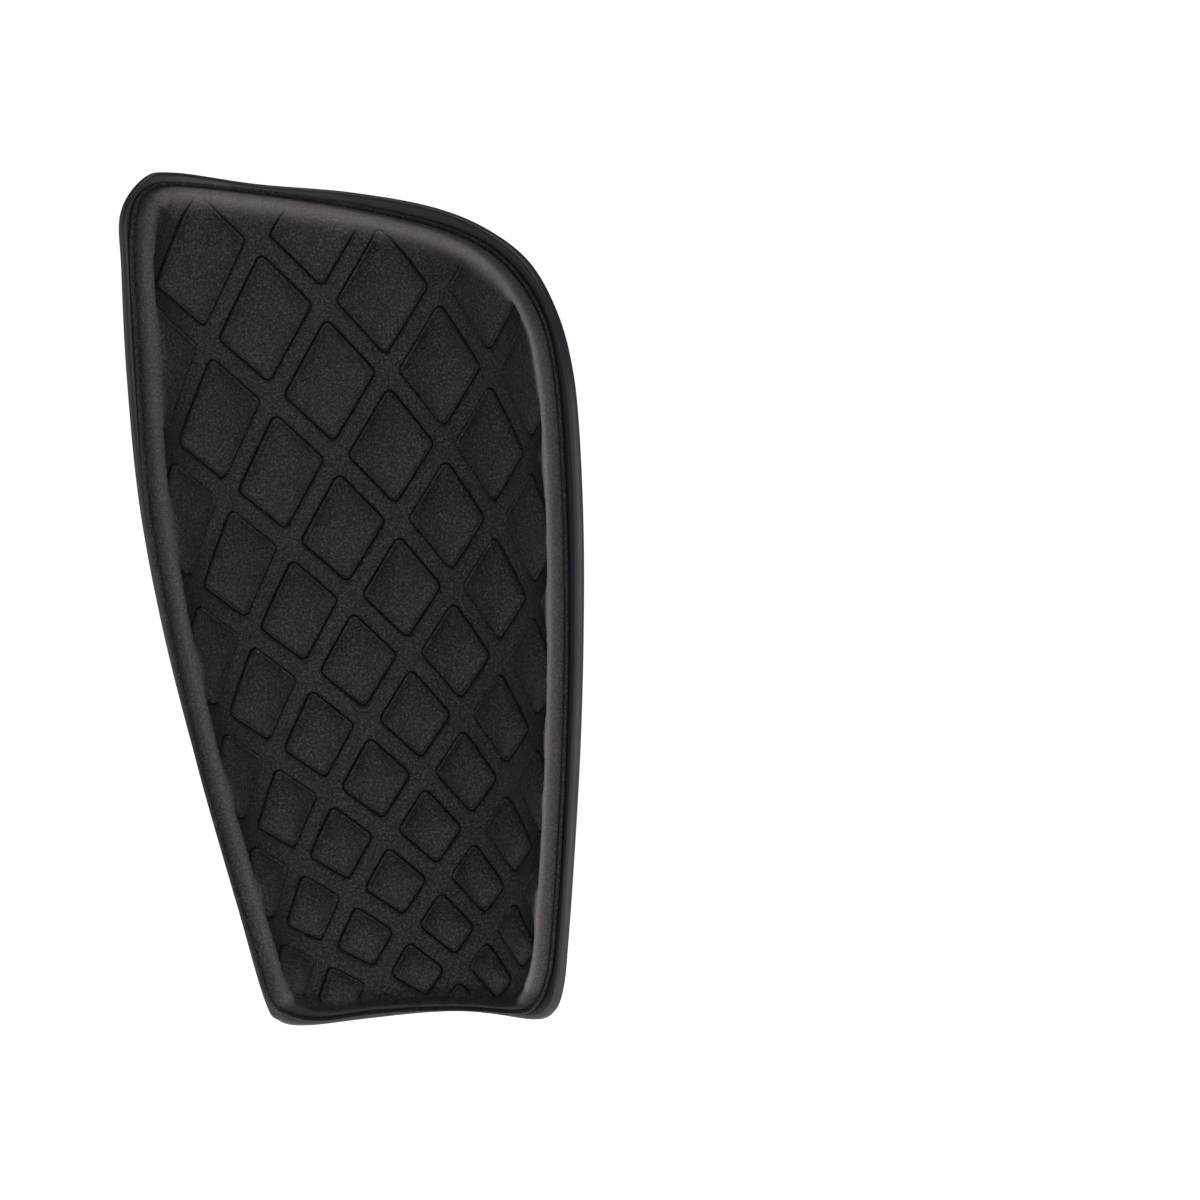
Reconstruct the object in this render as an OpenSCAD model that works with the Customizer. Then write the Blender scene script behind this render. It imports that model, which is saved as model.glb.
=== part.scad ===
// Shin guard for one leg: a hard shell curved in both directions, with a
// compression-moulded foam liner bonded inside it.
// Units are millimetres. +Z is up, towards the knee. The leg side faces -Y and the
// shell's outer face faces +Y. +X is the inner (medial) side of a left leg.
// The origin is on the leg side of the liner, level with the top of the rim, half way up.
//
// Everything is laid out on the shell's inner face in two lengths:
//   a = distance around the leg from the shin line (mm, + towards medial)
//   h = height along the shell's own axis (mm, + towards the knee)
// and a depth d, measured square to that face: + towards the leg, - outwards.

/* [Shell] */
// Radius of the shell's inner face at half height
shell_r = 55; // [40:0.5:75]
// How fast the radius opens out at half height, degrees
shell_flare = 8.5; // [0:0.5:15]
// Lengthwise curve of the shell: radius of the arc that sweeps it
bow_r = 900; // [500:50:2000]
// Lean of the shin line, foot end towards medial, degrees
shell_lean = 7.5; // [0:0.5:12]
// Wall thickness of the shell
shell_t = 2.4; // [1.6:0.1:3.5]

/* [Liner] */
// Thickness of the bonding film
film_t = 0.2; // [0.1:0.05:0.4]
// Width of shell left bare of film inside the liner's edge
film_margin = 3; // [1:0.5:6]
// Thickness of the foam through the rim
foam_t = 5; // [3:0.1:8]
// Thickness of the foam through a pad
pad_t = 4.2; // [2.5:0.1:7]
// Thickness of the foam at the bottom of a groove
floor_t = 3.1; // [1.2:0.1:5]
// Thickness of the pinched flange around the edge
flange_t = 1; // [0.5:0.1:2]
// Width of the pinched flange
flange_w = 1; // [0.5:0.1:3]
// Width of flange and rim together along the outer (lateral) side
rim_lateral = 4.7; // [2.5:0.1:10]
// Width of flange and rim together along the inner (medial) side
rim_medial = 3; // [2.5:0.1:10]
// Width of flange and rim together at the knee and foot ends
rim_end = 2.7; // [2:0.1:10]

/* [Pads] */
// Width of a groove between two pads
groove_w = 4.8; // [2:0.1:8]
// Corner radius of a pad
pad_corner = 1.3; // [0.5:0.1:4]
// Half the pad spacing around the leg, at the middle row
pitch_a = 12.8; // [8:0.1:20]
// How much that half spacing shrinks each half row down
pitch_a_step = 0.43; // [0:0.01:1]
// Half the pad spacing up the leg, at the middle row
pitch_h = 14.65; // [8:0.05:22]
// How much that half spacing shrinks each half row down
pitch_h_step = 0.87; // [0:0.01:1.5]
// Height of the middle row
row_mid_h = -14.3; // [-30:0.1:30]
// Rise of a row towards the medial side, per half column
row_rise = 0.9; // [-2:0.05:2]
// Change of that rise with each half row down
row_rise_step = 0.12; // [-0.5:0.01:0.5]
// Sag of a row away from the shin line
row_sag = 0.46; // [0:0.01:1]
// Place of the middle column around the leg
col_mid_a = -2.1; // [-20:0.1:20]
// Curve of a column towards medial at both ends
col_bow = 0.13; // [0:0.01:0.4]
// Crowding of the outer columns
col_crowd = 0.09; // [0:0.01:0.4]

/* [Hidden] */
$fn = 200;
bow_c = shell_r - bow_r * cos(shell_flare); // arc centre, from the shell's axis
bow_h = bow_r * sin(shell_flare);           // arc centre, above half height
skin_d = film_t + foam_t;                   // depth of the top of the rim

// Edge of the shell in a, h: clockwise from the upper outer corner.
shell_edge = [
    [-38, 105], [-30, 105], [-10, 99], [10, 94.5], [30, 89], [44, 83],     // knee end
    [56, 75], [64, 64], [68, 53],                                          // medial shoulder
    [69, 40], [67, 15], [63, -10], [58, -35], [52, -60], [47, -80],        // medial side
    [44, -90], [39, -96], [30, -98.5], [10, -96.5], [-10, -95.5], [-25, -94], // foot end
    [-34, -91], [-38, -85],
    [-42, -60], [-47, -30], [-51, 0], [-52.5, 30], [-50.5, 60], [-47.5, 85], [-45.5, 98]]; // lateral side

// Edge of the foam liner in a, h: the same way round. It sits a little low and
// to the outside, so it is flush with the shell there and short of it elsewhere.
liner_edge = [
    [-38, 103], [-31, 103], [-15, 99], [5, 93.5], [20, 89], [34, 84.5],    // knee end
    [46, 79], [55, 72], [62, 63], [65, 53],                                // medial shoulder
    [65.5, 40], [63.5, 15], [60, -10], [55.5, -35], [50, -60], [45, -80],  // medial side
    [42, -88], [37, -94], [29, -97.5], [10, -96.5], [-10, -95],            // foot end
    [-23, -94], [-33, -91], [-40, -86],
    [-42.5, -75], [-46.5, -52], [-50, -30], [-52, -10], [-53, 10],         // lateral side
    [-53, 30], [-51, 50], [-48.5, 70], [-46, 90], [-43, 99.5]];

// ---- curves on the shell --------------------------------------------------

function unit(v) = v / norm(v);
// Smooth closed curve through the points p, with k steps between neighbours.
function smooth(p, k) = [for (i = [0:len(p) - 1]) for (j = [0:k - 1])
    let (n = len(p), t = j / k, a = p[(i + n - 1) % n], b = p[i], c = p[(i + 1) % n], e = p[(i + 2) % n])
    (2 * b + (c - a) * t + (2 * a - 5 * b + 4 * c - e) * t * t + (3 * b - a - 3 * c + e) * t * t * t) / 2];
// Outward direction of a closed clockwise curve at point i.
function out_dir(p, i) = let (n = len(p), e = unit(p[(i + 1) % n] - p[(i + n - 1) % n])) [-e[1], e[0]];
// The same curve moved inwards: by l where it faces lateral, m medial, and e up or down.
function inset(p, l, m, e) = [for (i = [0:len(p) - 1])
    let (d = out_dir(p, i)) p[i] - d * (e + ((d[0] > 0 ? m : l) - e) * abs(d[0]))];
// How far the point c lies outside a closed clockwise curve (negative inside).
function outside(c, p) = max([for (i = [0:len(p) - 1])
    let (e = unit(p[(i + 1) % len(p)] - p[i]), v = c - p[i]) -e[1] * v[0] + e[0] * v[1]]);

// ---- the shell's face in space ---------------------------------------------

function rise(h) = asin((h - bow_h) / bow_r);
function radius(h) = bow_c + bow_r * cos(rise(h));
function around(a, h) = a / radius(h) * 180 / PI;
// A direction or point given along the shell's own axis, turned into the part's frame.
function lean_x(v) = let (c = cos(shell_flare), s = sin(shell_flare)) [v[0], v[1] * c - v[2] * s, v[1] * s + v[2] * c];
function lean_y(v) = let (c = cos(shell_lean), s = -sin(shell_lean)) [v[0] * c + v[2] * s, v[1], -v[0] * s + v[2] * c];
function turned(v) = lean_y(lean_x(v));
function place(a, h, d) = let (w = around(a, h), q = rise(h), r = bow_c + (bow_r - d) * cos(q))
    turned([r * sin(w), r * cos(w) - shell_r, bow_h + (bow_r - d) * sin(q)]) + [0, skin_d, 0];
function inward(a, h) = let (w = around(a, h), q = rise(h)) -turned([cos(q) * sin(w), cos(q) * cos(w), sin(q)]);

// Solid between the depths d0 and d1, following the shell's face.
module layer(d0, d1) {
    translate([0, skin_d, 0]) rotate([0, -shell_lean, 0]) rotate([shell_flare, 0, 0])
        translate([0, -shell_r, 0]) rotate_extrude() intersection() {
            difference() {
                translate([bow_c, bow_h]) circle(r = bow_r - d0);
                translate([bow_c, bow_h]) circle(r = bow_r - d1);
            }
            translate([5, -125]) square([120, 250]);
        }
}

// Upright prism a little wider than the closed curve p, on the guard's side of the leg.
module around_edge(p) {
    rotate([90, 0, 0]) translate([0, 0, -20]) linear_extrude(height = 58)
        polygon([for (c = inset(p, -6, -6, -6)) let (s = place(c[0], c[1], 0)) [s[0], s[2]]]);
}

// Places its children with x along e, z along n and y square to both, at point o.
module frame_at(o, e, n) {
    y = cross(n, e);
    multmatrix([[e[0], y[0], n[0], o[0]], [e[1], y[1], n[1], o[1]], [e[2], y[2], n[2], o[2]], [0, 0, 0, 1]]) children();
}

// The strip just outside the closed clockwise curve p, as one block square to the
// shell for each short length of the curve: reach is its width, lap the overlap.
module beyond(p, reach, lap) {
    n = len(p);
    for (i = [0:n - 1]) {
        a = p[i];
        b = p[(i + 1) % n];
        pa = place(a[0], a[1], 0);
        pb = place(b[0], b[1], 0);
        m = (a + b) / 2;
        k0 = inward(m[0], m[1]);
        e = unit(pb - pa);
        k = unit(k0 - e * (k0 * e));
        w = norm(pb - pa) + 2 * lap;
        frame_at((pa + pb) / 2, e, -k) translate([-w / 2, -reach, -12]) cube([w, reach, 24]);
    }
}

// Solid between the depths d0 and d1, cut square to the shell along the curve p.
module sheet(d0, d1, p) {
    difference() {
        intersection() {
            layer(d0, d1);
            around_edge(p);
        }
        beyond(p, 30, 5);
    }
}

// ---- pads ------------------------------------------------------------------

// Crossing point of the pad grid: column q, half row g (0 at the middle row, + down).
function grid(q, g) = [
    col_mid_a + col_bow * g * g + q * (pitch_a - pitch_a_step * g) - col_crowd * q * q,
    row_mid_h - pitch_h * g + pitch_h_step / 2 * g * g + row_rise * q - row_rise_step * q * g - row_sag * q * q];
// Where two lines meet: p + t*u and q + s*v.
function meet(p, u, q, v) = let (w = q - p) p + u * ((w[0] * v[1] - w[1] * v[0]) / (u[0] * v[1] - u[1] * v[0]));
// Four-sided clockwise shape moved inwards by d.
function shrink(p, d) = [for (i = [0:3]) let (
    u = unit(p[i] - p[(i + 3) % 4]), v = unit(p[(i + 1) % 4] - p[i]))
    meet(p[i] + d * [u[1], -u[0]], u, p[i] + d * [v[1], -v[0]], v)];
// Outline of one pad from its four corner centres: each corner rounded in short steps.
function rounded(c, r) = [for (i = [0:3]) let (
    u = unit(c[i] - c[(i + 3) % 4]), v = unit(c[(i + 1) % 4] - c[i]),
    s = atan2(u[0], -u[1]), f = atan2(v[0], -v[1]), t = f > s ? f - 360 : f)
    for (j = [0:3]) c[i] + r * [cos(s + (t - s) * j / 3), sin(s + (t - s) * j / 3)]];

module pad(q, g) {
    c = grid(q, g);
    n = inward(c[0], c[1]);
    o = place(c[0], c[1], 0);
    e = unit(cross([0, 0, 1], n));
    y = cross(n, e);
    corners = [for (k = [[0, -1], [1, 0], [0, 1], [-1, 0]])
        let (m = grid(q + k[0], g + k[1]), v = place(m[0], m[1], film_t + (pad_t + floor_t) / 2) - o) [v * e, v * y]];
    frame_at(o, e, n) linear_extrude(height = foam_t + 4)
        polygon(rounded(shrink(corners, groove_w / 2 + pad_corner), pad_corner));
}

module pads(edge) {
    for (q = [-4:5]) for (g = [-7:8])
        if ((q + g + 100) % 2 == 0 && outside(grid(q, g), edge) < 3) pad(q, g);
}

// ---- parts -----------------------------------------------------------------

module outer_shell() {
    color([0.03, 0.03, 0.035]) sheet(-shell_t, 0, smooth(shell_edge, 2));
}

module bond_film() {
    color([0.75, 0.72, 0.6]) sheet(0, film_t, inset(smooth(liner_edge, 1), film_margin, film_margin, film_margin));
}

module foam_liner() {
    edge = smooth(liner_edge, 2);
    foot = inset(edge, flange_w, flange_w, flange_w);
    color([0.17, 0.16, 0.165]) union() {
        sheet(film_t, film_t + flange_t, edge);
        difference() {
            union() {
                intersection() {
                    layer(film_t, film_t + floor_t);
                    around_edge(edge);
                }
                intersection() {
                    layer(film_t + 0.6 * floor_t, film_t + pad_t);
                    pads(foot);
                }
                intersection() {
                    layer(film_t + 0.4 * floor_t, skin_d);
                    beyond(inset(smooth(liner_edge, 1), rim_lateral, rim_medial, rim_end), 9, 2);
                }
            }
            beyond(foot, 30, 5);
        }
    }
}

outer_shell();
bond_film();
foam_liner();
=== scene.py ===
"""Shin guard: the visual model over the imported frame.

Metres in the row frame: +Z towards the knee, leg side -Y, +X medial.
The foam liner and the shell are rebuilt here in more detail than the CAD solids, on the same
surface: a = distance around the leg, h = height along the shell, d = depth towards the leg (mm).
"""

import math

import bpy
import numpy as np
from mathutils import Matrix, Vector
from mathutils.geometry import delaunay_2d_cdt


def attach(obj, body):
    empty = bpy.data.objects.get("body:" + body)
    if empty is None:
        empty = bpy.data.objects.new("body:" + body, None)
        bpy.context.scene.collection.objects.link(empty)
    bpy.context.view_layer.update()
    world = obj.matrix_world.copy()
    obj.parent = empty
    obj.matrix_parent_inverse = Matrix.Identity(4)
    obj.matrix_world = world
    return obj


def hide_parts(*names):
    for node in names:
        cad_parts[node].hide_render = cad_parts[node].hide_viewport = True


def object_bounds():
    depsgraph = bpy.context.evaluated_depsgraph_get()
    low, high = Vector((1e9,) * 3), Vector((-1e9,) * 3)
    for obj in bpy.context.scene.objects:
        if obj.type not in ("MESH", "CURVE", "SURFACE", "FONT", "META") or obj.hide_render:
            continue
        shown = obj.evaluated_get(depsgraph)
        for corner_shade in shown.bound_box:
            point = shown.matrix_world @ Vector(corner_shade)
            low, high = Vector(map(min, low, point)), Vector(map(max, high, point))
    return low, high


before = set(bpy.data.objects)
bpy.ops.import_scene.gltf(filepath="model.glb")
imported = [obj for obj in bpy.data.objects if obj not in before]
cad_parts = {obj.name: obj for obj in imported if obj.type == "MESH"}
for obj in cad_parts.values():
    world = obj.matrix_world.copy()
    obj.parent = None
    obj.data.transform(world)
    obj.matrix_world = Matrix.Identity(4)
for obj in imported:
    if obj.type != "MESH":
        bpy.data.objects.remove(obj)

cad_box = [list(v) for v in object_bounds()]
rng = np.random.default_rng(7)

# ---- sizes, as in the CAD source (mm) ------------------------------------------------

SHELL_R, BOW_R, SHELL_T = 55.0, 900.0, 2.4
FLARE, LEAN = math.radians(8.5), math.radians(7.5)
FILM, FOAM, PAD_T, FLOOR = 0.2, 5.0, 4.2, 3.1
FLANGE_T, RIM_LATERAL, RIM_MEDIAL, RIM_END = 1.0, 4.7, 3.0, 2.7
GROOVE, CORNER = 4.8, 1.3
TOP = FILM + FOAM
PAD_TOP = FILM + PAD_T
BASE = FILM + FLOOR
BOW_C = SHELL_R - BOW_R * math.cos(FLARE)
BOW_H = BOW_R * math.sin(FLARE)

SHELL_EDGE = [
    (-38, 105), (-30, 105), (-10, 99), (10, 94.5), (30, 89), (44, 83),
    (56, 75), (64, 64), (68, 53),
    (69, 40), (67, 15), (63, -10), (58, -35), (52, -60), (47, -80),
    (44, -90), (39, -96), (30, -98.5), (10, -96.5), (-10, -95.5), (-25, -94),
    (-34, -91), (-38, -85),
    (-42, -60), (-47, -30), (-51, 0), (-52.5, 30), (-50.5, 60), (-47.5, 85), (-45.5, 98),
]
LINER_EDGE = [
    (-38, 103), (-31, 103), (-15, 99), (5, 93.5), (20, 89), (34, 84.5),
    (46, 79), (55, 72), (62, 63), (65, 53),
    (65.5, 40), (63.5, 15), (60, -10), (55.5, -35), (50, -60), (45, -80),
    (42, -88), (37, -94), (29, -97.5), (10, -96.5), (-10, -95),
    (-23, -94), (-33, -91), (-40, -86),
    (-42.5, -75), (-46.5, -52), (-50, -30), (-52, -10), (-53, 10),
    (-53, 30), (-51, 50), (-48.5, 70), (-46, 90), (-43, 99.5),
]


def place(a, h, d):
    """Points of the guard in metres, from a, h, d in mm."""
    q = np.arcsin((h - BOW_H) / BOW_R)
    w = a / (BOW_C + BOW_R * np.cos(q))
    r = BOW_C + (BOW_R - d) * np.cos(q)
    x, y, z = r * np.sin(w), r * np.cos(w) - SHELL_R, BOW_H + (BOW_R - d) * np.sin(q)
    y, z = y * math.cos(FLARE) - z * math.sin(FLARE), y * math.sin(FLARE) + z * math.cos(FLARE)
    x, z = x * math.cos(LEAN) - z * math.sin(LEAN), x * math.sin(LEAN) + z * math.cos(LEAN)
    return np.stack([x, y + TOP, z], -1) / 1000


def grid(q, g):
    return np.array([
        -2.1 + 0.13 * g * g + q * (12.8 - 0.43 * g) - 0.09 * q * q,
        -14.3 - 14.65 * g + 0.435 * g * g + 0.9 * q - 0.12 * q * g - 0.46 * q * q,
    ])


def smooth(p, k):
    """Closed Catmull-Rom curve through the points."""
    p = np.array(p, float)
    a, b, c, e = np.roll(p, 1, 0), p, np.roll(p, -1, 0), np.roll(p, -2, 0)
    out = []
    for j in range(k):
        t = j / k
        out.append((2 * b + (c - a) * t + (2 * a - 5 * b + 4 * c - e) * t * t + (3 * b - a - 3 * c + e) * t ** 3) / 2)
    return np.stack(out, 1).reshape(-1, 2)


def resample(curve, step):
    c = np.vstack([curve, curve[:1]])
    s = np.r_[0, np.cumsum(np.linalg.norm(np.diff(c, axis=0), axis=1))]
    n = int(round(s[-1] / step))
    t = np.arange(n) * s[-1] / n
    return np.stack([np.interp(t, s, c[:, 0]), np.interp(t, s, c[:, 1])], -1)


def outward(curve):
    e = np.roll(curve, -1, 0) - np.roll(curve, 1, 0)
    e /= np.linalg.norm(e, axis=1)[:, None]
    return np.stack([-e[:, 1], e[:, 0]], -1)


def nearest(p, curve, normals):
    """Distance of each point inside a closed curve (negative outside), and the curve's normal there."""
    dist, norm = np.empty(len(p)), np.empty((len(p), 2))
    for i in range(0, len(p), 4000):
        q = p[i:i + 4000]
        k = ((q[:, None, :] - curve[None, :, :]) ** 2).sum(-1).argmin(1)
        v = q - curve[k]
        along = -(v * normals[k]).sum(1)
        far = np.linalg.norm(v, axis=1)
        dist[i:i + 4000] = np.where(far < 1.2, along, np.sign(along) * far)
        norm[i:i + 4000] = normals[k]
    return dist, norm


def step(x, lo=0.0, hi=1.0):
    t = np.clip((x - lo) / (hi - lo), 0, 1)
    return t * t * (3 - 2 * t)


def waves(p, wave, seed, count=14):
    """Soft irregular relief of about unit height, the same on each run."""
    r = np.random.default_rng(seed)
    out = np.zeros(len(p))
    for _ in range(count):
        t, f, s = r.uniform(0, 2 * math.pi), 2 * math.pi / (wave * r.uniform(0.6, 1.7)), r.uniform(0, 2 * math.pi)
        out += np.sin((p[:, 0] * math.cos(t) + p[:, 1] * math.sin(t)) * f + s)
    return out / math.sqrt(count / 2)


# ---- the moulded face of the foam ------------------------------------------------------

edge = resample(smooth(LINER_EDGE, 16), 0.72)
edge_n = outward(edge)
rim_w = np.where(edge_n[:, :1] > 0, RIM_MEDIAL, RIM_LATERAL)
inner = edge - edge_n * (RIM_END + (rim_w - RIM_END) * np.abs(edge_n[:, :1]))
inner_n = outward(inner)


class Pad:
    def __init__(self, q, g):
        c = [grid(q + i, g + j) for i, j in ((0, -1), (1, 0), (0, 1), (-1, 0))]
        self.core = self.shrink(c, GROOVE / 2 + CORNER)
        self.mid = sum(self.core) / 4

    @staticmethod
    def shrink(p, d):
        out = []
        for i in range(4):
            u = p[i] - p[i - 1]
            v = p[(i + 1) % 4] - p[i]
            u, v = u / np.linalg.norm(u), v / np.linalg.norm(v)
            a, b = p[i] + d * np.array([u[1], -u[0]]), p[i] + d * np.array([v[1], -v[0]])
            w = b - a
            out.append(a + u * ((w[0] * v[1] - w[1] * v[0]) / (u[0] * v[1] - u[1] * v[0])))
        return out

    def sides(self, p):
        """Distance inside each of the four sides of the foot."""
        out = []
        for i in range(4):
            a, b = self.core[i], self.core[(i + 1) % 4]
            e = (b - a) / np.linalg.norm(b - a)
            out.append((p[:, 0] - a[0]) * e[1] - (p[:, 1] - a[1]) * e[0] + CORNER)
        return out

    def inside(self, p):
        """Distance inside the foot's outline (negative outside)."""
        inn = np.minimum.reduce(self.sides(p)) - CORNER
        far = np.full(len(p), 1e9)
        for i in range(4):
            a, e = self.core[i], self.core[(i + 1) % 4] - self.core[i]
            w = p - a
            t = np.clip((w @ e) / (e @ e), 0, 1)
            far = np.minimum(far, np.linalg.norm(w - t[:, None] * e, axis=1))
        return CORNER + np.where(inn > 0, inn, -far)

    def contour(self, s):
        """Points along the line s inside the foot's outline."""
        if s < CORNER - 0.02:
            core, r = self.core, CORNER - s
        else:
            core, r = self.shrink(self.core, s - CORNER), 0.0
            if self.inside(np.array(core)).min() < s - 0.05:
                return None
        pts = []
        for i in range(4):
            u, v = core[i] - core[i - 1], core[(i + 1) % 4] - core[i]
            if r > 0:
                t0, t1 = math.atan2(u[0], -u[1]), math.atan2(v[0], -v[1])
                if t1 > t0:
                    t1 -= 2 * math.pi
                n = max(3, math.ceil((t0 - t1) * r / 0.42))
                for j in range(n):
                    t = t0 + (t1 - t0) * j / n
                    pts.append(core[i] + r * np.array([math.cos(t), math.sin(t)]))
            else:
                pts.append(core[i])
                t1 = math.atan2(v[0], -v[1])
            a = core[i] + r * np.array([math.cos(t1), math.sin(t1)])
            b = a + v
            m = max(2, math.ceil(np.linalg.norm(v) / 0.8))
            for j in range(0 if r > 0 else 1, m):
                pts.append(a + (b - a) * j / m)
        return np.array(pts)


pads = []
for q in range(-4, 6):
    for g in range(-7, 9):
        if (q + g) % 2 == 0:
            pads.append(Pad(q, g))
mids = np.array([p.mid for p in pads])
keep = nearest(mids, edge, edge_n)[0] > -3
pads = [p for p, k in zip(pads, keep) if k]


CREASE = 0.55                    # how far the pinched line round a pad lies below the groove
WALL, SHOULDER, ROUND = 0.18, 0.72, 2.4  # top of the wall, its depth below the pad, end of the rounding


def relief(p):
    """Depth of the moulded face at each point (mm), how much painted shade darkens its colour (the lines round the
    pads, the corner under the rim, the medial flange and the foot end), and how much painted highlight pales the rim.
    """
    t, n = nearest(p, edge, edge_n)
    into, m = nearest(p, inner, inner_n)
    side = m[:, 0] ** 2
    up = m[:, 1] > 0
    lo = -0.9 * side + (1 - side) * np.where(up, -6.5, -2.5)
    hi = 1.2 * side + (1 - side) * np.where(up, 0.6, 0.4)
    open_ = 1 - step(-into, lo, hi)
    s = np.full(len(p), -9.0)
    dome = np.zeros(len(p))
    for pad in pads:
        near = np.nonzero(np.abs(p - pad.mid).max(1) < 26)[0]
        if not len(near):
            continue
        x = p[near]
        v = pad.inside(x)
        c = np.prod([1 - np.exp(-np.clip(k, 0, None) / 3.4) for k in pad.sides(x)], axis=0)
        c /= max(c.max(), 0.3)
        dome[near] = np.where(v > s[near], c, dome[near])
        s[near] = np.maximum(s[near], v)
    foot_end = step(-m[:, 1], 0.6, 0.95)
    top = PAD_TOP + (TOP - 0.1 - PAD_TOP) * (1 - step(into, -0.4, 5.0)) * (1 - foot_end)
    floor = top - BASE + 0.55 + np.where(m[:, 0] > 0, 0.7, 0.4) * side * (1 - step(into, 0.0, 7.0))
    # painted shade mask: the thin line round each pad, darkened in colour
    shade_mask = step(s, -0.5, -0.12) * (1 - step(s, 0.05, 0.12))
    drop = floor + CREASE * step(s, -0.5, -0.12)
    up_wall = (s >= 0.05) & (s < WALL)
    drop = np.where(up_wall, (floor + CREASE) + (SHOULDER - floor - CREASE) * (s - 0.05) / (WALL - 0.05), drop)
    c = np.clip((ROUND - s) / (ROUND - WALL), 0, 1)
    drop = np.where(s >= WALL, SHOULDER * (1 - np.sqrt(np.clip(1 - c * c, 0, 1))), drop)
    drop -= 1.75 * (dome - 0.72) * step(s, 0.0, 0.5)
    d = top - open_ * drop
    # the outer wall and its rounding, down to the pinched flange
    r = 1.9 - 0.6 * step(n[:, 0], 0.2, 0.9)
    c = np.clip((1.2 + r - t) / r, 0, 1)
    out = TOP - 0.1 - r * (1 - np.sqrt(np.clip(1 - c * c, 0, 1)))
    foot = FILM + FLANGE_T
    out = np.where(t < 1.2, foot - 0.18 + (TOP - 0.1 - r - foot + 0.18) * np.clip((t - 1.02) / 0.18, 0, 1), out)
    out = np.where(t < 1.02, foot - 0.18 * step(t, 0.82, 0.98), out)
    d = np.minimum(d, out)
    soft = 0.035 * waves(p, 9.0, 3) + 0.012 * waves(p, 3.2, 4)
    d = d + soft * step(t, 1.3, 3.0)
    # painted highlight: the rim's colour is paled, most on the medial side, for the light it catches
    highlight_weight = np.maximum(0.28 + 0.72 * step(m[:, 0], -0.2, 0.5), 0.6 * step(m[:, 1], 0.5, 0.9))
    rim = (1 - open_) ** 2 * highlight_weight * (1 - foot_end) * step(t, 0.9, 1.6)
    # painted shade: the lines round the pads, the corner under the rim, the medial flange and the foot end are
    # darkened in colour where shade falls
    near_side = open_ * side * np.where(m[:, 0] > 0, 1.0, 0.75)
    corner_shade = near_side * 0.95 * (1 - step(into, 2.0, 15.0)) * (1 - step(s, -0.6, -0.1))
    flange_shadow = step(n[:, 0], 0.3, 0.8) * (1 - step(t, 0.7, 1.1)) * 0.8
    painted_shade = np.maximum.reduce([open_ * shade_mask, corner_shade, flange_shadow, 0.85 * foot_end * (1 - step(t, 2.4, 4.2))])
    return d, painted_shade, rim


def open_part(p):
    into, m = nearest(p, inner, inner_n)
    side = m[:, 0] ** 2
    hi = 1.2 * side + (1 - side) * np.where(m[:, 1] > 0, 0.6, 0.4)
    return -into < hi - 0.15


def hexes(spacing):
    lo, hi = edge.min(0) - 1, edge.max(0) + 1
    rows = np.arange(lo[1], hi[1], spacing * math.sqrt(3) / 2)
    out = []
    for i, y in enumerate(rows):
        x = np.arange(lo[0] + (i % 2) * spacing / 2, hi[0], spacing)
        out.append(np.stack([x, np.full(len(x), y)], -1))
    return np.vstack(out)


def triangulate(points, lines):
    """Delaunay faces over the points, keeping the lines. Gives all points (crossings added) and faces."""
    v, _, f, _, _, _ = delaunay_2d_cdt([Vector(p) for p in points], lines, [], 0, 1e-5, False)
    return np.array([tuple(x) for x in v]), np.array([tuple(x) for x in f])


def inside_faces(v, f, boundary):
    c = v[f].mean(1)
    near, _ = nearest(c, boundary, outward(boundary))
    return f[near > 0]


def add_loop(points, lines, loop, ok=None):
    ok = np.ones(len(loop), bool) if ok is None else ok
    number = np.full(len(loop), -1)
    number[ok] = len(points) + np.arange(ok.sum())
    points.extend(loop[ok].tolist())
    nxt = np.roll(number, -1)
    lines.extend((int(a), int(b)) for a, b in zip(number, nxt) if a >= 0 and b >= 0)


def front_of_foam(boundary):
    points, lines = [], []
    add_loop(points, lines, boundary)
    for t in (0.62, 0.84, 0.98, 1.03, 1.12, 1.2, 1.36, 1.6, 1.95, 2.3, 2.7):
        add_loop(points, lines, edge - edge_n * t)
    for pad in pads:
        for s in (-0.5, -0.3, -0.12, 0.05, 0.11, 0.18, 0.34, 0.55, 0.8, 1.1, 1.5, 2.3):
            loop = pad.contour(s)
            if loop is None:
                continue
            t, _ = nearest(loop, edge, edge_n)
            ok = (t > 2.95) & open_part(loop)
            if ok.any():
                add_loop(points, lines, loop, ok)
    for spacing, lo, hi in ((0.95, -99, -0.95), (1.5, 2.95, 99)):
        fill = hexes(spacing)
        fill = fill[nearest(fill, edge, edge_n)[0] > 3.1]
        s = np.maximum.reduce([pad.inside(fill) for pad in pads])
        free = ~open_part(fill)
        ok = (s > lo) & (s < hi)
        if lo < 0:
            ok |= free
        else:
            ok &= ~free
        points.extend(fill[ok].tolist())
    v, f = triangulate(points, lines)
    return v, inside_faces(v, f, boundary)


def flat_side(boundary, spacing, insets):
    points, lines = [], []
    add_loop(points, lines, boundary)
    n = outward(boundary)
    for t in insets:
        add_loop(points, lines, boundary - n * t)
    fill = hexes(spacing)
    fill = fill[nearest(fill, boundary, n)[0] > insets[-1] + spacing * 0.6]
    points.extend(fill.tolist())
    v, f = triangulate(points, lines)
    return v, inside_faces(v, f, boundary)


def make(name, verts, faces, marks=None):
    me = bpy.data.meshes.new(name)
    me.from_pydata([tuple(v) for v in verts], [], [tuple(int(i) for i in f) for f in faces])
    me.validate()
    me.shade_smooth()
    if marks is not None:
        for key, values in marks.items():
            at = me.attributes.new(key, "FLOAT", "POINT")
            at.data.foreach_set("value", np.asarray(values, np.float32))
    ob = bpy.data.objects.new(name, me)
    bpy.context.scene.collection.objects.link(ob)
    return ob


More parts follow.
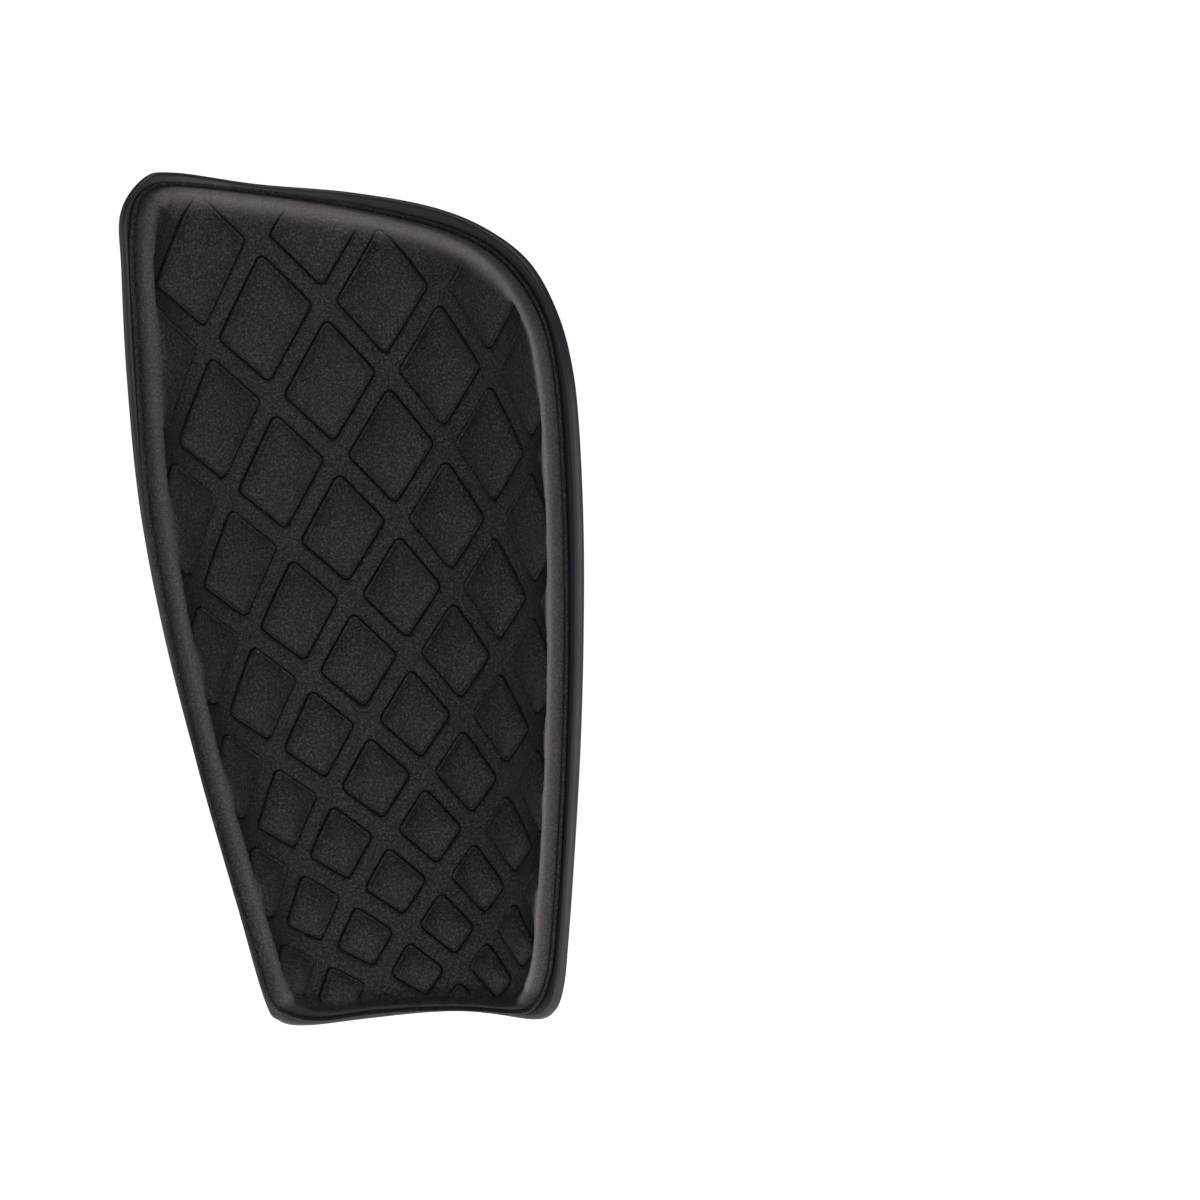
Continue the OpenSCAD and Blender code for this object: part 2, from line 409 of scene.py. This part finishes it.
def closed(front, back, ring):
    """Joins two triangulated sides by rings. front and back are (2D points, faces, depths); their first
    len(ring[0]) points are the boundary. ring is a list of (2D points, depths) from front to back between them."""
    n = len(ring[0][0])
    v, f, d = front
    co = [place(v[:, 0], v[:, 1], d)]
    faces = [tuple(x) for x in f]
    start = len(v)
    loops = [np.arange(n)]
    for p, dd in ring:
        co.append(place(p[:, 0], p[:, 1], np.full(n, dd)))
        loops.append(start + np.arange(n))
        start += n
    v2, f2, d2 = back
    co.append(place(v2[:, 0], v2[:, 1], d2))
    faces += [(start + x[0], start + x[2], start + x[1]) for x in f2]
    loops.append(start + np.arange(n))
    for a, b in zip(loops, loops[1:]):
        for i in range(n):
            j = (i + 1) % n
            faces.append((a[i], a[j], b[j], b[i]))
    return np.vstack(co), faces


# ---- foam liner --------------------------------------------------------------------------

rim_line = edge - edge_n * 0.3
fv, ff = front_of_foam(rim_line)
# relief also gives the painted shade and the painted rim highlight for the foam's colour
depth, shade_mask, rim_highlight = relief(fv)
bv, bf = flat_side(rim_line, 3.2, (0.9, 2.4))
ring = [(edge - edge_n * 0.09, FILM + FLANGE_T - 0.09), (edge, FILM + FLANGE_T - 0.3), (edge, FILM + 0.3),
        (edge - edge_n * 0.09, FILM + 0.09)]
verts, faces = closed((fv, ff, depth), (bv, bf, np.full(len(bv), FILM)), ring)
# painted shade and painted rim highlight, stored on the liner's vertices for its colour
shade_values, highlight_values = np.zeros(len(verts)), np.zeros(len(verts))
shade_values[:len(fv)] = shade_mask
highlight_values[:len(fv)] = rim_highlight
liner = make("moulded_liner", verts, faces, {"shade_paint": shade_values, "rim": highlight_values})
print("liner", len(fv), len(ff), len(bf), "triangles about", len(ff) + len(bf) + 2 * 5 * len(edge))

# ---- shell -------------------------------------------------------------------------------

rim = resample(smooth(SHELL_EDGE, 16), 1.1)
rim_n = outward(rim)
R = 0.85
line = rim - rim_n * R
sv, sf = flat_side(line, 2.4, (0.5, 1.3, 2.6))
ov, of_ = sv.copy(), sf.copy()
ring = []
for k in range(1, 6):
    t = math.radians(15 * k)
    ring.append((rim - rim_n * R * (1 - math.sin(t)), -R * (1 - math.cos(t))))
ring.append((rim, -R))
ring.append((rim, -SHELL_T / 2))
ring.append((rim, -SHELL_T + R))
for k in range(5, 0, -1):
    t = math.radians(15 * k)
    ring.append((rim - rim_n * R * (1 - math.sin(t)), -SHELL_T + R * (1 - math.cos(t))))
verts, faces = closed((sv, sf, np.zeros(len(sv))), (ov, of_, np.full(len(ov), -SHELL_T)), ring)
shell = make("hard_shell", verts, faces)
print("shell faces", len(faces))


# ---- materials ---------------------------------------------------------------------------

def material(name):
    m = bpy.data.materials.new(name)
    m.use_nodes = True
    t = m.node_tree
    return m, t, t.nodes["Principled BSDF"]


def link(t, a, b):
    t.links.new(a, b)


def node(t, kind, **sockets):
    n = t.nodes.new(kind)
    for k, v in sockets.items():
        n.inputs[k.replace("_", " ")].default_value = v
    return n


def noise(t, co, scale, detail=2.0, rough=0.5, stretch=None):
    n = node(t, "ShaderNodeTexNoise", Scale=scale, Detail=detail, Roughness=rough)
    if stretch:
        m = node(t, "ShaderNodeMapping", Scale=stretch)
        link(t, co, m.inputs["Vector"])
        co = m.outputs["Vector"]
    link(t, co, n.inputs["Vector"])
    return n


def ramp(t, fac, stops):
    n = t.nodes.new("ShaderNodeValToRGB")
    e = n.color_ramp.elements
    while len(e) > 1:
        e.remove(e[-1])
    for i, (pos, col) in enumerate(stops):
        x = e[0] if i == 0 else e.new(pos)
        x.position = pos
        x.color = (*col, 1)
    link(t, fac, n.inputs["Fac"])
    return n


def mix(t, a, b, fac, kind="MIX"):
    n = t.nodes.new("ShaderNodeMix")
    n.data_type = "RGBA"
    n.blend_type = kind
    for sock, v in ((n.inputs[6], a), (n.inputs[7], b)):
        if isinstance(v, tuple):
            sock.default_value = (*v, 1)
        else:
            link(t, v, sock)
    if isinstance(fac, float):
        n.inputs[0].default_value = fac
    else:
        link(t, fac, n.inputs[0])
    return n.outputs[2]


def math_node(t, op, a, b):
    n = t.nodes.new("ShaderNodeMath")
    n.operation = op
    for sock, v in ((n.inputs[0], a), (n.inputs[1], b)):
        if isinstance(v, (int, float)):
            sock.default_value = v
        else:
            link(t, v, sock)
    return n.outputs[0]


def bump(t, height, distance, strength, under=None):
    n = node(t, "ShaderNodeBump", Distance=distance, Strength=strength)
    link(t, height, n.inputs["Height"])
    if under is not None:
        link(t, under.outputs["Normal"], n.inputs["Normal"])
    return n


def foam_material():
    m, t, p = material("eva_foam_black")
    co = t.nodes.new("ShaderNodeTexCoord").outputs["Object"]
    # painted shade: attribute that darkens the colour round the pads, under the rim, at the flange and at the foot
    # end
    at = t.nodes.new("ShaderNodeAttribute")
    at.attribute_name = "shade_paint"
    # painted highlight: attribute that pales the rim's colour
    rim_highlight = t.nodes.new("ShaderNodeAttribute")
    rim_highlight.attribute_name = "rim"
    grain = noise(t, co, 1900, 3, 0.62)
    speck = noise(t, co, 4200, 1, 0.5)
    cloud = noise(t, co, 190, 3, 0.55)
    patch = noise(t, co, 45, 3, 0.6)
    base = ramp(t, grain.outputs["Fac"], [
        (0.34, (0.0012, 0.0007, 0.0012)), (0.5, (0.0145, 0.0106, 0.0134)), (0.66, (0.0540, 0.0440, 0.0500))])
    white = ramp(t, speck.outputs["Fac"], [(0.64, (0, 0, 0)), (0.78, (0.06, 0.056, 0.058))])
    c = mix(t, base.outputs["Color"], white.outputs["Color"], 0.5, "ADD")
    tone = ramp(t, cloud.outputs["Fac"], [(0.3, (0.84, 0.82, 0.87)), (0.7, (1.1, 1.1, 1.08))])
    c = mix(t, c, tone.outputs["Color"], 1.0, "MULTIPLY")
    wear = ramp(t, patch.outputs["Fac"], [(0.35, (0.9, 0.9, 0.9)), (0.65, (1.08, 1.08, 1.08))])
    c = mix(t, c, wear.outputs["Color"], 1.0, "MULTIPLY")
    # painted shade: the colour is darkened along the shade attribute
    painted_shade = ramp(t, at.outputs["Fac"], [(0.0, (1, 1, 1)), (1.0, (0.04, 0.04, 0.045))])
    c = mix(t, c, painted_shade.outputs["Color"], 1.0, "MULTIPLY")
    # painted highlight: the rim's colour is paled, most on the medial side, for the light it catches; it is also made
    # smoother
    painted_highlight = ramp(t, rim_highlight.outputs["Fac"], [(0.0, (0, 0, 0)), (1.0, (0.158, 0.142, 0.153))])
    c = mix(t, c, painted_highlight.outputs["Color"], 1.0, "ADD")
    link(t, c, p.inputs["Base Color"])
    r = ramp(t, cloud.outputs["Fac"], [(0.3, (0.56,) * 3), (0.7, (0.68,) * 3)])
    closed_skin = ramp(t, rim_highlight.outputs["Fac"], [(0.0, (1, 1, 1)), (1.0, (0.72, 0.72, 0.72))])
    r = mix(t, r.outputs["Color"], closed_skin.outputs["Color"], 1.0, "MULTIPLY")
    open_skin = ramp(t, at.outputs["Fac"], [(0.0, (0, 0, 0)), (1.0, (0.32, 0.32, 0.32))])
    r = mix(t, r, open_skin.outputs["Color"], 1.0, "ADD")
    link(t, r, p.inputs["Roughness"])
    p.inputs["Specular IOR Level"].default_value = 0.34
    b1 = bump(t, cloud.outputs["Fac"], 0.0005, 0.3)
    b2 = bump(t, grain.outputs["Fac"], 0.00045, 0.9, b1)
    link(t, b2.outputs["Normal"], p.inputs["Normal"])
    return m


def shell_material():
    m, t, p = material("shell_gloss_black")
    co = t.nodes.new("ShaderNodeTexCoord").outputs["Object"]
    haze = noise(t, co, 60, 4, 0.6)
    fine = noise(t, co, 900, 2, 0.5)
    scuff = noise(t, co, 500, 4, 0.7, (1.0, 1.0, 0.12))
    c = ramp(t, haze.outputs["Fac"], [(0.3, (0.0150, 0.0135, 0.0190)), (0.7, (0.0210, 0.0190, 0.0260))])
    link(t, c.outputs["Color"], p.inputs["Base Color"])
    r = ramp(t, scuff.outputs["Fac"], [(0.35, (0.42,) * 3), (0.62, (0.5,) * 3), (0.8, (0.6,) * 3)])
    link(t, r.outputs["Color"], p.inputs["Roughness"])
    p.inputs["Specular IOR Level"].default_value = 0.5
    b1 = bump(t, haze.outputs["Fac"], 0.0006, 0.06)
    b2 = bump(t, fine.outputs["Fac"], 0.00008, 0.12, b1)
    link(t, b2.outputs["Normal"], p.inputs["Normal"])
    return m


def film_material():
    m, t, p = material("bond_film_adhesive")
    co = t.nodes.new("ShaderNodeTexCoord").outputs["Object"]
    n = noise(t, co, 380, 3, 0.6)
    c = ramp(t, n.outputs["Fac"], [(0.3, (0.30, 0.27, 0.19)), (0.7, (0.42, 0.38, 0.28))])
    link(t, c.outputs["Color"], p.inputs["Base Color"])
    r = ramp(t, n.outputs["Fac"], [(0.3, (0.45,) * 3), (0.7, (0.65,) * 3)])
    link(t, r.outputs["Color"], p.inputs["Roughness"])
    b = bump(t, n.outputs["Fac"], 0.0001, 0.4)
    link(t, b.outputs["Normal"], p.inputs["Normal"])
    return m


liner.data.materials.append(foam_material())
shell.data.materials.append(shell_material())
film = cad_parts["bond_film"]
film_mat = film_material()
if not film.material_slots:
    film.data.materials.append(film_mat)
for s in film.material_slots:
    s.link = "OBJECT"
    s.material = film_mat

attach(liner, "root")
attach(shell, "root")
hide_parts("foam_liner")
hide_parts("outer_shell")

# ---- studio ------------------------------------------------------------------------------

floor_z = cad_box[0][2] - 0.0002
ring = [(0.8 * math.cos(k * math.pi / 48), 0.8 * math.sin(k * math.pi / 48), floor_z) for k in range(96)]
me = bpy.data.meshes.new("studio_floor")
me.from_pydata(ring, [], [tuple(range(96))])
floor = bpy.data.objects.new("studio_floor", me)
bpy.context.scene.collection.objects.link(floor)
m, t, p = material("studio_white")
n = noise(t, t.nodes.new("ShaderNodeTexCoord").outputs["Object"], 3, 2, 0.5)
c = ramp(t, n.outputs["Fac"], [(0.3, (0.93, 0.93, 0.93)), (0.7, (0.96, 0.96, 0.96))])
link(t, c.outputs["Color"], p.inputs["Base Color"])
p.inputs["Roughness"].default_value = 0.9
p.inputs["Emission Color"].default_value = (1, 1, 1, 1)
p.inputs["Emission Strength"].default_value = 1.0
floor.data.materials.append(m)


def area(name, at, size, power, target=(0, 0, 0), tint=(1, 1, 1)):
    l = bpy.data.lights.new(name, "AREA")
    l.shape = "RECTANGLE"
    l.size, l.size_y = size
    l.energy = power
    l.color = tint
    o = bpy.data.objects.new(name, l)
    o.location = at
    o.rotation_euler = (Vector(target) - Vector(at)).to_track_quat("-Z", "Y").to_euler()
    bpy.context.scene.collection.objects.link(o)
    return o


area("soft_camera", (0.1, -2.2, 0.15), (0.5, 0.5), 3.6)
area("soft_front_right", (1.2, -1.4, -0.02), (0.6, 0.15), 5.6)
area("soft_left", (-1.3, 0.1, 0.1), (0.7, 1.2), 3.0)
area("soft_right", (1.3, 0.1, 0.1), (0.7, 1.2), 1.4)
area("soft_top", (0, -0.25, 1.3), (0.8, 0.8), 5)

w = bpy.data.worlds.new("studio_world")
bpy.context.scene.world = w
w.use_nodes = True
t = w.node_tree
t.nodes.clear()
outp = t.nodes.new("ShaderNodeOutputWorld")
lp = t.nodes.new("ShaderNodeLightPath")
seen = node(t, "ShaderNodeBackground", Strength=1.05)
seen.inputs["Color"].default_value = (1, 1, 1, 1)
# a white table in front of the guard lights it from below, and the wall behind it a little
way = t.nodes.new("ShaderNodeSeparateXYZ")
link(t, t.nodes.new("ShaderNodeTexCoord").outputs["Generated"], way.inputs[0])


def fade(axis, lo, hi, top):
    n = node(t, "ShaderNodeMapRange")
    n.interpolation_type = "SMOOTHSTEP"
    for key, value in (("From Min", lo), ("From Max", hi), ("To Max", top)):
        n.inputs[key].default_value = value
    link(t, way.outputs[axis], n.inputs["Value"])
    return n.outputs["Result"]


table = math_node(t, "MULTIPLY", fade("Y", 0.35, -0.15, 1.0), fade("Z", 0.05, -0.4, 1.6))
table = math_node(t, "MULTIPLY", table, math_node(t, "ADD", fade("X", -0.7, 0.25, 0.85), 0.15))
lit = node(t, "ShaderNodeBackground")
lit.inputs["Color"].default_value = (1, 0.965, 0.99, 1)
link(t, math_node(t, "ADD", table, fade("Y", -0.15, 0.35, 0.12)), lit.inputs["Strength"])
mx = t.nodes.new("ShaderNodeMixShader")
link(t, lp.outputs["Is Camera Ray"], mx.inputs[0])
link(t, lit.outputs[0], mx.inputs[1])
link(t, seen.outputs[0], mx.inputs[2])
link(t, mx.outputs[0], outp.inputs["Surface"])

cam = bpy.data.cameras.new("camera")
cam.sensor_width = 36
cam.lens = 36 * 2500 / 281.64
cam.clip_start, cam.clip_end = 0.1, 20
co = bpy.data.objects.new("camera", cam)
co.location = (0.0566, -2.5 + 0.0052, -0.00023)
co.rotation_euler = (math.pi / 2, 0, 0)
bpy.context.scene.collection.objects.link(co)
bpy.context.scene.camera = co
bpy.context.scene.view_settings.view_transform = "Standard"
